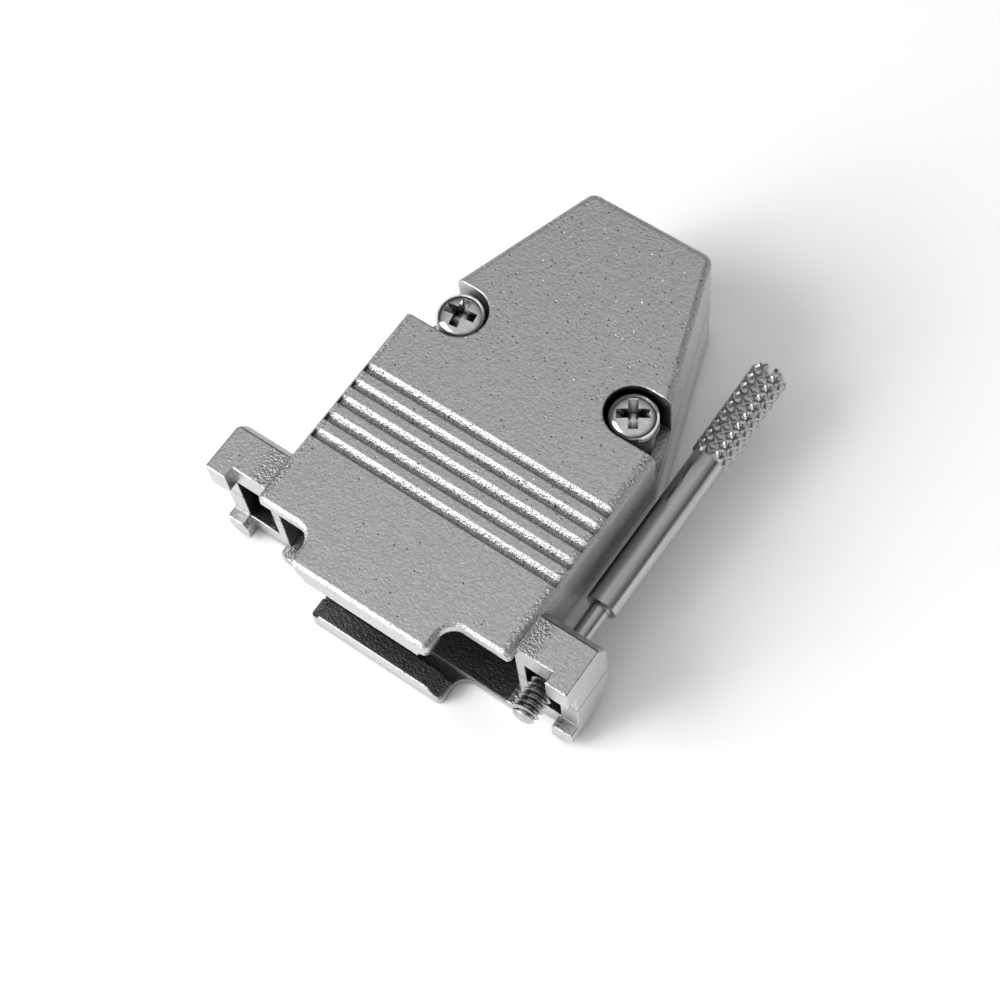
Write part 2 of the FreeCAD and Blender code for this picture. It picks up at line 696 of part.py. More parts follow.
def knurl_solid():
    """Diamond knurl as rows of four-sided pyramids round the axis Y, from Y = 0."""
    around = 2 * int(value("knurl_around"))
    rows = 2 * int(value("knurl_rows"))
    top, root = value("knurl_radius"), value("knurl_radius - knurl_depth")
    chamfer, length = value("end_chamfer"), value("knurl_length")
    step = (length - 2 * chamfer) / rows

    def spot(column, row):
        radius = top if (column + row) % 2 == 0 else root
        angle = math.tau * column / around
        return FreeCAD.Vector(radius * math.cos(angle), chamfer + row * step, radius * math.sin(angle))

    def ring(radius, along):
        return [FreeCAD.Vector(radius * math.cos(math.tau * column / around), along,
                               radius * math.sin(math.tau * column / around))
                for column in range(around)]

    grid = [[spot(column, row) for column in range(around)] for row in range(rows + 1)]
    triangles = []
    for row in range(rows):
        for column in range(around):
            after = (column + 1) % around
            a, b = grid[row][column], grid[row][after]
            c, d = grid[row + 1][after], grid[row + 1][column]
            if (column + row) % 2 == 0:
                triangles += [(a, b, d), (b, c, d)]
            else:
                triangles += [(a, b, c), (a, c, d)]
    for inner, outer, along, flip in ((ring(root, 0.0), grid[0], 0.0, 1),
                                      (ring(root, length), grid[rows], length, -1)):
        centre = FreeCAD.Vector(0, along, 0)
        for column in range(around):
            after = (column + 1) % around
            triangles += [(inner[column], inner[after], outer[after])[::flip],
                          (inner[column], outer[after], outer[column])[::flip],
                          (centre, inner[after], inner[column])[::flip]]
    faces = [Part.Face(Part.makePolygon([a, b, c, a])) for a, b, c in triangles]
    shell = Part.Shell(faces)
    solid = Part.Solid(shell)
    if solid.Volume < 0:
        solid.reverse()
    return solid


def make_all():
    """Every node of the hood, in the order in which it is put together."""
    nodes = [make_lower_shell(), make_upper_shell()]
    head = ("head_radius", "head_height", "head_dome", "head_crown")
    small_head = ("clamp_head_radius", "clamp_head_height", "clamp_head_dome", "clamp_head_crown")
    for name, side in (("left", -1), ("right", 1)):
        nodes.append(make_nut(f"assembly_nut_{name}", side))
        nodes.append(make_screw(f"assembly_screw_{name}",
                                (f"{side} * {SCREW_X}", SCREW_Y, HEAD_SEAT),
                                "screw_thread", f"({HEAD_SEAT} - nut_sink)", head,
                                ("recess_length", "recess_depth")))
        nodes.append(make_screw(f"clamp_screw_{name}",
                                (f"{side} * clamp_screw_offset", CLAMP_Y,
                                 f"{CLAMP_SEAT} + foot_thickness"),
                                "clamp_screw_thread", "clamp_screw_length", small_head,
                                ("clamp_recess_length", "clamp_recess_depth")))
    nodes.append(make_clamp())
    nodes.append(make_thumbscrew())
    return nodes


def check(items):
    """Stop where an object of the document is in error or has no sound shape."""
    for item in items:
        if any(word in item.State for word in ("Invalid", "Error")):
            raise ValueError(f"{item.Label} is {item.State}")
        shape = getattr(item, "Shape", None)
        solid_kind = item.isDerivedFrom("PartDesign::Feature") or item.isDerivedFrom("Part::Cut")
        if solid_kind and (shape.isNull() or not shape.isValid()):
            raise ValueError(f"{item.Label} has no sound shape")


os.makedirs("parts", exist_ok=True)
pieces = make_all()
doc.recompute()
check(doc.Objects)
for piece in pieces:
    if len(piece.Shape.Solids) != 1:
        raise ValueError(f"{piece.Label} has {len(piece.Shape.Solids)} solids")
    piece.Shape.exportStep(os.path.join("parts", f"{piece.Label}.step"))
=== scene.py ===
"""Looks of a die-cast D-sub connector hood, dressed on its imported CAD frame."""

import logging
import math
from collections.abc import Callable
from dataclasses import dataclass, field
from enum import Enum

import bmesh
import bpy
from mathutils import Matrix, Vector

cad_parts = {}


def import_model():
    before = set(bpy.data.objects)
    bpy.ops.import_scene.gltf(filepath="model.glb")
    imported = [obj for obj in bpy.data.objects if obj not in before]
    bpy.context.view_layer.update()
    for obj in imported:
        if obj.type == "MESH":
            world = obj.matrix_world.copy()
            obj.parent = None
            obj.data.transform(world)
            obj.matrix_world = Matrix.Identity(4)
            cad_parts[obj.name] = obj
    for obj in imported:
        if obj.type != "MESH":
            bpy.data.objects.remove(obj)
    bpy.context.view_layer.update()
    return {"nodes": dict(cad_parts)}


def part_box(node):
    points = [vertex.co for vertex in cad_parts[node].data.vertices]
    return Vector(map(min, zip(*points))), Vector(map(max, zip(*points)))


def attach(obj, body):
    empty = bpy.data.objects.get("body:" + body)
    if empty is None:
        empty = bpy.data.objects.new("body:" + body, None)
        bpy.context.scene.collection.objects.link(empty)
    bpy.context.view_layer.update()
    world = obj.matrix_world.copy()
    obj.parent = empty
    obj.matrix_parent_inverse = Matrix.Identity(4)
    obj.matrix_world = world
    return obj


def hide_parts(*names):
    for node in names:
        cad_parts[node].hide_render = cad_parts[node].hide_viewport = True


MM = 0.001
FAR = 1.0  # one metre, further than any place on the part
NOISE_RANGE = (0.3, 0.7)  # nearly all values of a noise texture
DOUBLES = 0.0005 * MM  # vertices nearer than this are merged
CUT_REACH = 1e-7  # how near to a cutting plane a vertex counts as on it
FACING = 0.9  # least cosine between a face's normal and the way that it faces
HOLLOW_SHADE_SAMPLES = 8
EDGE_SAMPLES = 6
SIDEWAYS = (Vector((1, 0, 0)), Vector((-1, 0, 0)), Vector((0, 1, 0)), Vector((0, -1, 0)))
LOG = logging.getLogger("dsub_hood")


class Body(Enum):
    """CAD bodies that the pieces ride on."""

    HOOD = "hood"
    THUMBSCREW = "thumbscrew"


class Slot(Enum):
    """Material slots of the record that the new pieces use."""

    SCREW = "screw_steel"
    THUMBSCREW = "thumbscrew_steel"


class Marks(Enum):
    """How the fine marks of a finish stretch along X, Y and Z."""

    UPRIGHT = (1.0, 1.0, 0.2)
    ACROSS = (0.2, 1.0, 1.0)
    LENGTHWISE = (1.0, 0.05, 1.0)


def deselect() -> None:
    """Leave edit mode and select nothing, because an operator acts on all that is selected."""
    if bpy.context.object and bpy.context.object.mode != "OBJECT":
        bpy.ops.object.mode_set(mode="OBJECT")
    bpy.ops.object.select_all(action="DESELECT")


def activate(piece: bpy.types.Object) -> None:
    """Select one piece alone and make it the active one."""
    deselect()
    piece.select_set(True)
    bpy.context.view_layer.objects.active = piece


def apply_all(piece: bpy.types.Object) -> None:
    """Apply the modifiers of a piece in their order."""
    activate(piece)
    for name in [modifier.name for modifier in piece.modifiers]:
        bpy.ops.object.modifier_apply(modifier=name)


def clean(piece: bpy.types.Object) -> None:
    """Merge doubles of a piece and turn its faces outwards."""
    activate(piece)
    bpy.ops.object.mode_set(mode="EDIT")
    bpy.ops.mesh.select_all(action="SELECT")
    bpy.ops.mesh.remove_doubles(threshold=DOUBLES)
    bpy.ops.mesh.normals_make_consistent(inside=False)
    bpy.ops.object.mode_set(mode="OBJECT")


def select_faces(piece: bpy.types.Object, wanted: Callable[[Vector, Vector], bool]) -> None:
    """Select the faces of a piece in edit mode by their normal and middle.

    Args:
        piece: Piece in edit mode.
        wanted: Test of a face's normal and middle.
    """
    bpy.ops.mesh.select_all(action="DESELECT")
    bpy.ops.mesh.select_mode(type="FACE")
    grid = bmesh.from_edit_mesh(piece.data)
    for face in grid.faces:
        face.select_set(wanted(face.normal, face.calc_center_median()))
    bmesh.update_edit_mesh(piece.data)


def draw_profile(name: str, profile: list[tuple[float, float]]) -> bpy.types.Object:
    """Draw an open line in the XZ plane by extruding a single point.

    Args:
        name: Name of the piece.
        profile: Radius and height of each point, in metres.

    Returns:
        The new piece, one chain of edges.
    """
    deselect()
    bpy.ops.mesh.primitive_plane_add(size=MM)
    piece = bpy.context.object
    piece.name = name
    bpy.ops.object.mode_set(mode="EDIT")
    bpy.ops.mesh.select_all(action="SELECT")
    bpy.ops.mesh.merge(type="CENTER")
    bpy.ops.transform.translate(value=(profile[0][0], 0.0, profile[0][1]))
    for (radius, height), (next_radius, next_height) in zip(profile, profile[1:]):
        step = (next_radius - radius, 0.0, next_height - height)
        bpy.ops.mesh.extrude_region_move(TRANSFORM_OT_translate={"value": step})
    bpy.ops.object.mode_set(mode="OBJECT")
    return piece


def turn_profile(name: str, profile: list[tuple[float, float]], steps: int,
                 lead: float = 0.0) -> bpy.types.Object:
    """Turn a profile once round the axis Z, or along a right-handed screw line.

    Args:
        name: Name of the piece.
        profile: Radius and height of each point, in metres.
        steps: Faces round the axis.
        lead: Height gained in one turn.

    Returns:
        The turned piece, its faces outwards.
    """
    piece = draw_profile(name, profile)
    lathe = piece.modifiers.new("lathe", "SCREW")
    lathe.axis, lathe.angle, lathe.screw_offset = "Z", math.tau, lead
    lathe.steps = lathe.render_steps = steps
    apply_all(piece)
    clean(piece)
    return piece


def boolean(piece: bpy.types.Object, tool: bpy.types.Object, operation: str) -> None:
    """Cut, join or intersect a piece with a tool, which is used up.

    Args:
        piece: Piece that stays.
        tool: Closed piece that shapes it.
        operation: DIFFERENCE, UNION or INTERSECT.
    """
    modifier = piece.modifiers.new("shape", "BOOLEAN")
    modifier.operation, modifier.object, modifier.solver = operation, tool, "EXACT"
    apply_all(piece)
    bpy.data.objects.remove(tool, do_unlink=True)


def join(name: str, pieces: list[bpy.types.Object]) -> bpy.types.Object:
    """Join pieces into the first one.

    Args:
        name: Name of the joined piece.
        pieces: Pieces to join.

    Returns:
        The joined piece.
    """
    activate(pieces[0])
    for piece in pieces[1:]:
        piece.select_set(True)
    bpy.ops.object.join()
    pieces[0].name = name
    return pieces[0]


def finish_piece(piece: bpy.types.Object, place: Matrix, material: bpy.types.Material,
                 smooth: float) -> None:
    """Put a piece in its place by its mesh, smooth it and give it its finish.

    Args:
        piece: Piece made round the origin.
        place: Turn and shift that bring it to its place.
        material: Its finish.
        smooth: Greatest angle in degrees between faces that shade as one.
    """
    piece.data.transform(place)
    activate(piece)
    bpy.ops.object.shade_smooth_by_angle(angle=math.radians(smooth))
    piece.data.materials.clear()
    piece.data.materials.append(material)


class NodeTree:
    """Small helper that adds and links the nodes of a material or the world."""

    def __init__(self, owner: bpy.types.Material | bpy.types.World) -> None:
        """Empty the owner's node tree.

        Args:
            owner: New material or world.
        """
        owner.use_nodes = True
        self.owner = owner
        self.nodes = owner.node_tree.nodes
        self.links = owner.node_tree.links
        self.nodes.clear()

    def add(self, kind: str, **settings: object) -> bpy.types.Node:
        """Add a node and set its properties and unlinked inputs.

        Args:
            kind: Node type.
            settings: Properties by name, and inputs by name with spaces as underscores.

        Returns:
            The new node.
        """
        node = self.nodes.new(kind)
        for key, setting in settings.items():
            label = key.replace("_", " ")
            if label in node.inputs:
                node.inputs[label].default_value = setting
            else:
                setattr(node, key, setting)
        return node

    def link(self, source: bpy.types.NodeSocket, target: bpy.types.NodeSocket) -> None:
        """Join two sockets."""
        self.links.new(source, target)

    def ramp(self, source: bpy.types.NodeSocket, low: float, high: float,
             dark: float, light: float) -> bpy.types.NodeSocket:
        """Map a range of a value to another range.

        Args:
            source: Socket with the value.
            low: Value that gives dark.
            high: Value that gives light.
            dark: Result at low.
            light: Result at high.

        Returns:
            The mapped value's socket.
        """
        node = self.add("ShaderNodeMapRange", clamp=True)
        for name, number in (("From Min", low), ("From Max", high),
                             ("To Min", dark), ("To Max", light)):
            node.inputs[name].default_value = number
        self.link(source, node.inputs["Value"])
        return node.outputs["Result"]

    def math(self, operation: str, *terms: float | bpy.types.NodeSocket) -> bpy.types.NodeSocket:
        """Work out one sum of numbers and sockets.

        Args:
            operation: Name of the Math node's operation.
            terms: Its inputs in order.

        Returns:
            The result's socket.
        """
        node = self.add("ShaderNodeMath", operation=operation)
        for slot, term in zip(node.inputs, terms):
            if isinstance(term, bpy.types.NodeSocket):
                self.link(term, slot)
            else:
                slot.default_value = term
        return node.outputs["Value"]

    def product(self, *terms: float | bpy.types.NodeSocket) -> bpy.types.NodeSocket:
        """Multiply two or more numbers and sockets.

        Args:
            terms: The factors in order.

        Returns:
            The product's socket.
        """
        result = terms[0]
        for term in terms[1:]:
            result = self.math("MULTIPLY", result, term)
        return result

    def split(self, vector: bpy.types.NodeSocket) -> bpy.types.NodeOutputs:
        """Split a vector into its X, Y and Z sockets."""
        node = self.add("ShaderNodeSeparateXYZ")
        self.link(vector, node.inputs[0])
        return node.outputs

    def dot(self, vector: bpy.types.NodeSocket,
            other: bpy.types.NodeSocket | Vector) -> bpy.types.NodeSocket:
        """Find the scalar product of a vector with another.

        Args:
            vector: First vector's socket.
            other: Second vector's socket, or a fixed vector.

        Returns:
            The product's socket.
        """
        node = self.add("ShaderNodeVectorMath", operation="DOT_PRODUCT")
        self.link(vector, node.inputs[0])
        if isinstance(other, bpy.types.NodeSocket):
            self.link(other, node.inputs[1])
        else:
            node.inputs[1].default_value = other
        return node.outputs["Value"]

    def texture(self, kind: str, place: bpy.types.NodeSocket, size: float,
                **settings: object) -> bpy.types.NodeOutputs:
        """Add a procedural texture of a given grain size.

        Args:
            kind: Node type.
            place: Socket with the coordinates.
            size: Size of its grain in metres.
            settings: Its other inputs, by name.

        Returns:
            The texture's sockets.
        """
        node = self.add(kind, Scale=1.0 / size, **settings)
        self.link(place, node.inputs["Vector"])
        return node.outputs

    def seen_rays(self) -> bpy.types.NodeSocket:
        """Give 1 for camera, glossy and transmission rays, else 0."""
        rays = self.add("ShaderNodeLightPath").outputs
        mirrored = self.math("MAXIMUM", rays["Is Glossy Ray"], rays["Is Transmission Ray"])
        return self.math("MAXIMUM", rays["Is Camera Ray"], mirrored)

    def finish(self, shader: bpy.types.NodeSocket) -> None:
        """Send a shader to the surface output."""
        kind = "World" if isinstance(self.owner, bpy.types.World) else "Material"
        self.link(shader, self.add(f"ShaderNodeOutput{kind}").inputs["Surface"])


def new_material(name: str) -> NodeTree:
    """Start an empty material."""
    return NodeTree(bpy.data.materials.new(name))


@dataclass(frozen=True)
class BlastedCasting:
    """Satin nickel over a blasted die casting: grain and pits, with painted highlights and shade
    on edges and painted shade inside and in hollows.
    """

    name: str = "blasted_nickel_casting"
    tone: float = 0.62
    tone_spread: float = 0.14
    metallic: float = 1.0
    roughness: float = 0.34
    roughness_spread: float = 0.025
    soft: float = 0.06 * MM
    parting: float = 7.4 * MM
    # Painted shade on the inside, as far as the walls reach.
    inside_shade_tone: float = 0.3
    inside_half: float = 13.05 * MM
    inside_run: tuple[float, float] = (-24.1 * MM, 22.75 * MM)
    inside_rise: float = 6.2 * MM
    taper_start: float = 2.9 * MM
    taper_slope: float = 0.3474
    # Painted shade inside the ear windows.
    window_sides: tuple[float, float] = (14.9 * MM, 18.75 * MM)
    window_run: tuple[float, float] = (-19.3 * MM, -15.45 * MM)
    window_rise: float = 4.25 * MM
    # A painted line of shade where the crown of an ear starts.
    crease_run: tuple[float, float] = (-15.6 * MM, -15.5 * MM)
    crease_rise: float = 6.7 * MM
    crease_side: float = 14.6 * MM
    crease_shade_tone: float = 0.25
    # The dark seam between the shells, and painted shade in the hollows.
    seam_fade: tuple[float, float] = (0.05 * MM, 0.1 * MM)
    seam_tone: float = 0.12
    hollow_shade: float = 0.14
    hollow_shade_reach: float = 4.5 * MM
    hollow_shade_fade: tuple[float, float] = (0.2, 0.72)
    # Edges: a painted highlight where they face the front, painted shade elsewhere.
    edge_radius: float = 0.24 * MM
    edge_highlight: float = 0.12
    edge_shade: float = 0.7
    edge_turn: tuple[float, float] = (-0.35, -0.1)
    edge_bend: tuple[float, float] = (0.85, 0.985)
    # Fine grain, and wide clouds in the gloss.
    grain_size: float = 0.27 * MM
    grain_depth: float = 0.07 * MM
    cloud_size: float = 2.6 * MM
    # Coarse grain on sloping faces, at the roots of the ears and between the groove ends.
    slope_grain: float = 4.0
    rough_dulling: float = 0.32
    upright_fade: tuple[float, float] = (0.08, 0.3)
    level_fade: tuple[float, float] = (0.93, 0.995)
    front_fade: tuple[float, float] = (-0.6, -0.3)
    front_share: float = 0.3
    rim: tuple[float, float] = (13.3 * MM, 16.6 * MM)
    rim_fades: tuple[float, float] = (0.5 * MM, 1.0 * MM)
    rim_share: float = 0.8
    groove_level: float = 7.05 * MM
    groove_fit: float = 0.15 * MM
    groove_end: float = 0.8 * MM
    # Small pits, more of them towards the rear, and a few bright flecks.
    pit_size: float = 0.62 * MM
    pit_reach: tuple[float, float] = (0.23, 0.31)
    pit_depth: float = 0.5
    pit_run: tuple[float, float] = (-8.0 * MM, 5.0 * MM)
    pit_shares: tuple[float, float] = (0.15, 0.75)
    pit_tone: float = 0.42
    ragged_size: float = 0.16 * MM
    ragged_share: float = 0.22
    fleck_share: float = 0.12
    fleck_height: float = 1.2

    def rough(self, tree: NodeTree, place: bpy.types.NodeSocket) -> bpy.types.NodeSocket:
        """Find the faces that the blasting hit hardest.

        Args:
            tree: Material in the making.
            place: Socket with the Object coordinates.

        Returns:
            1 on rounded and sloping faces and at the roots of the ears, and 0 on flat ones.
        """
        turned = tree.split(tree.add("ShaderNodeNewGeometry").outputs["True Normal"])
        spot = tree.split(place)
        rise = tree.math("ABSOLUTE", turned["Z"])
        side = tree.math("ABSOLUTE", spot["X"])
        leaning = tree.ramp(rise, *self.upright_fade, 0.0, 1.0)
        tilt = tree.product(leaning, tree.ramp(rise, *self.level_fade, 1.0, 0.0),
                            tree.ramp(turned["Y"], *self.front_fade, self.front_share, 1.0))
        (start, end), (fade_in, fade_out) = self.rim, self.rim_fades
        rim = tree.product(tree.ramp(side, start, start + fade_in, 0.0, self.rim_share),
                           tree.ramp(side, end - fade_out, end, 1.0, 0.0))
        depth = tree.math("ABSOLUTE", tree.math("SUBTRACT", spot["Z"], self.parting))
        floor = tree.product(tree.math("COMPARE", depth, self.groove_level, self.groove_fit),
                             tree.math("LESS_THAN", side, start + self.groove_end))
        rim = tree.product(tree.math("MAXIMUM", rim, floor), leaning)
        return tree.math("MAXIMUM", tilt, rim)

    def within(self, tree: NodeTree, value: bpy.types.NodeSocket, low: float,
               high: float) -> bpy.types.NodeSocket:
        """Find where a value lies between two limits.

        Args:
            tree: Material in the making.
            value: Socket to test.
            low: Lower limit in metres.
            high: Upper limit in metres.

        Returns:
            1 between the limits, falling to 0 over a short distance outside them.
        """
        return tree.product(tree.ramp(value, low - self.soft, low, 0.0, 1.0),
                            tree.ramp(value, high, high + self.soft, 1.0, 0.0))

    def shade(self, tree: NodeTree, place: bpy.types.NodeSocket) -> bpy.types.NodeSocket:
        """Paint shade on the inside, in the ear windows, along the crowns' crease and in the
        hollows, and darken the seam.

        Args:
            tree: Material in the making.
            place: Socket with the Object coordinates.

        Returns:
            Factor for the tone.
        """
        spot = tree.split(place)
        side, along = tree.math("ABSOLUTE", spot["X"]), spot["Y"]
        rise = tree.math("ABSOLUTE", tree.math("SUBTRACT", spot["Z"], self.parting))
        past = tree.math("MAXIMUM", tree.math("SUBTRACT", along, self.taper_start), 0.0)
        wide = tree.math("MULTIPLY_ADD", past, self.taper_slope, side)
        inside = tree.product(self.within(tree, wide, -FAR, self.inside_half),
                              self.within(tree, along, *self.inside_run),
                              self.within(tree, rise, -FAR, self.inside_rise))
        window = tree.product(self.within(tree, side, *self.window_sides),
                              self.within(tree, along, *self.window_run),
                              self.within(tree, rise, -FAR, self.window_rise))
        # Painted line of shade along the crease where an ear's crown starts.
        crease = tree.product(self.within(tree, along, *self.crease_run),
                              self.within(tree, rise, self.crease_rise, FAR),
                              self.within(tree, side, self.crease_side, FAR))
        # Painted shade on the inside of the shells and in the ear windows.
        painted_inside_shade = tree.math("MAXIMUM", inside, window)
        # Painted shade: ambient occlusion darkens the colour in the hollows.
        open_sky = tree.add("ShaderNodeAmbientOcclusion", samples=HOLLOW_SHADE_SAMPLES,
                            Distance=self.hollow_shade_reach)
        return tree.product(
            tree.ramp(painted_inside_shade, 0.0, 1.0, 1.0, self.inside_shade_tone),
            tree.ramp(crease, 0.0, 1.0, 1.0, self.crease_shade_tone),
            tree.ramp(rise, *self.seam_fade, self.seam_tone, 1.0),
            tree.ramp(open_sky.outputs["AO"], *self.hollow_shade_fade, self.hollow_shade, 1.0))

    def pits(self, tree: NodeTree, place: bpy.types.NodeSocket) -> bpy.types.NodeSocket:
        """Scatter small pits of ragged outline.

        Args:
            tree: Material in the making.
            place: Socket with the Object coordinates.

        Returns:
            1 in a dark pit, a negative number in a bright fleck, else 0.
        """
        ragged = tree.texture("ShaderNodeTexNoise", place, self.ragged_size, Detail=2.0)
        cells = tree.texture("ShaderNodeTexVoronoi", place, self.pit_size, Randomness=1.0)
        reach = tree.math("MULTIPLY_ADD", ragged["Fac"], self.ragged_share, cells["Distance"])
        chance = tree.add("ShaderNodeSeparateColor")
        tree.link(cells["Color"], chance.inputs[0])
        share = tree.ramp(tree.split(place)["Y"], *self.pit_run, *self.pit_shares)
        chosen = tree.math("LESS_THAN", chance.outputs[0], share)
        bright = tree.math("LESS_THAN", chance.outputs[1], self.fleck_share)
        height = tree.math("MULTIPLY_ADD", bright, -1.0 - self.fleck_height, 1.0)
        return tree.product(chosen, height, tree.ramp(reach, *self.pit_reach, 1.0, 0.0))

    def paint_edge_light(self, tree: NodeTree, edge: bpy.types.NodeSocket) -> bpy.types.NodeSocket:
        """Paint a highlight on the edges that face the front and shade on the others.

        Args:
            tree: Material in the making.
            edge: Socket with the rounded normal.

        Returns:
            Change of the tone.
        """
        flat = tree.add("ShaderNodeNewGeometry").outputs["True Normal"]
        # Painted highlight on edges turned to the front, painted shade on the rest.
        change = tree.ramp(tree.split(edge)["Y"], *self.edge_turn, self.edge_highlight,
                           -self.edge_shade * self.tone)
        return tree.product(change, tree.ramp(tree.dot(edge, flat), *self.edge_bend, 1.0, 0.0))

    def build(self) -> bpy.types.Material:
        """Make the material.

        Returns:
            The node material.
        """
        tree = new_material(self.name)
        place = tree.add("ShaderNodeTexCoord").outputs["Object"]
        grain = tree.texture("ShaderNodeTexNoise", place, self.grain_size,
                             Detail=3.0, Roughness=0.55)["Fac"]
        cloud = tree.texture("ShaderNodeTexNoise", place, self.cloud_size, Detail=2.0)["Fac"]
        pit, rough = self.pits(tree, place), self.rough(tree, place)
        edge = tree.add("ShaderNodeBevel", samples=EDGE_SAMPLES,
                        Radius=self.edge_radius).outputs["Normal"]
        tone = tree.ramp(grain, *NOISE_RANGE, self.tone * (1.0 - self.tone_spread),
                         self.tone * (1.0 + self.tone_spread))
        tone = tree.math("ADD", tree.math("MULTIPLY_ADD", pit, -self.pit_tone, tone),
                         self.paint_edge_light(tree, edge))
        dulling = tree.math("MULTIPLY_ADD", rough, -self.rough_dulling, 1.0)
        shader = tree.add("ShaderNodeBsdfPrincipled", Metallic=self.metallic)
        tree.link(tree.product(tone, dulling, self.shade(tree, place)),
                  shader.inputs["Base Color"])
        tree.link(tree.ramp(cloud, *NOISE_RANGE, self.roughness - self.roughness_spread,
                            self.roughness + self.roughness_spread),
                  shader.inputs["Roughness"])
        swell = tree.math("MULTIPLY_ADD", rough, self.slope_grain - 1.0, 1.0)
        height = tree.math("MULTIPLY_ADD", pit, -self.pit_depth, tree.product(grain, swell))
        bump = tree.add("ShaderNodeBump", Strength=1.0, Distance=self.grain_depth)
        tree.link(height, bump.inputs["Height"])
        tree.link(edge, bump.inputs["Normal"])
        tree.link(bump.outputs["Normal"], shader.inputs["Normal"])
        tree.finish(shader.outputs["BSDF"])
        return tree.owner


@dataclass(frozen=True)
class TurnedSteel:
    """Nickel-plated steel with faint marks of turning or stamping and painted shade in its
    hollows.
    """

    name: str
    tone: float
    roughness: float
    marks: Marks
    hollow_shade: float = 0.13
    hollow_shade_reach: float = 0.6 * MM
    hollow_shade_fade: tuple[float, float] = (0.4, 0.9)
    mark_size: float = 0.5 * MM
    mark_depth: float = 0.004 * MM
    mark_strength: float = 0.3
    tone_factors: tuple[float, float] = (0.88, 1.1)
    roughness_factors: tuple[float, float] = (1.2, 0.8)

    def build(self) -> bpy.types.Material:
        """Make the material.

        Returns:
            The node material.
        """
        tree = new_material(self.name)
        mapping = tree.add("ShaderNodeMapping", Scale=self.marks.value)
        tree.link(tree.add("ShaderNodeTexCoord").outputs["Object"], mapping.inputs["Vector"])
        marks = tree.texture("ShaderNodeTexNoise", mapping.outputs["Vector"], self.mark_size,
                             Detail=3.0)["Fac"]
        # Painted shade: ambient occlusion darkens the colour in the knurl valleys and other
        # hollows.
        open_sky = tree.add("ShaderNodeAmbientOcclusion", samples=HOLLOW_SHADE_SAMPLES,
                            Distance=self.hollow_shade_reach)
        hollow_shade = tree.ramp(open_sky.outputs["AO"], *self.hollow_shade_fade, self.hollow_shade, 1.0)
        tones = (self.tone * factor for factor in self.tone_factors)
        glosses = (self.roughness * factor for factor in self.roughness_factors)
        shader = tree.add("ShaderNodeBsdfPrincipled", Metallic=1.0)
        tree.link(tree.product(tree.ramp(marks, *NOISE_RANGE, *tones), hollow_shade),
                  shader.inputs["Base Color"])
        tree.link(tree.ramp(marks, *NOISE_RANGE, *glosses), shader.inputs["Roughness"])
        bump = tree.add("ShaderNodeBump", Strength=self.mark_strength, Distance=self.mark_depth)
        tree.link(marks, bump.inputs["Height"])
        tree.link(bump.outputs["Normal"], shader.inputs["Normal"])
        tree.finish(shader.outputs["BSDF"])
        return tree.owner


@dataclass(frozen=True)
class Softbox:
    """Square soft lamp that looks at the object."""

    name: str
    place: tuple[float, float, float]
    side: float
    watts: float

    def build(self) -> None:
        """Hang the lamp."""
        data = bpy.data.lights.new(self.name, "AREA")
        data.size, data.energy = self.side, self.watts
        lamp = bpy.data.objects.new(self.name, data)
        bpy.context.scene.collection.objects.link(lamp)
        lamp.location = self.place
        lamp.rotation_euler = (-Vector(self.place)).to_track_quat("-Z", "Y").to_euler()


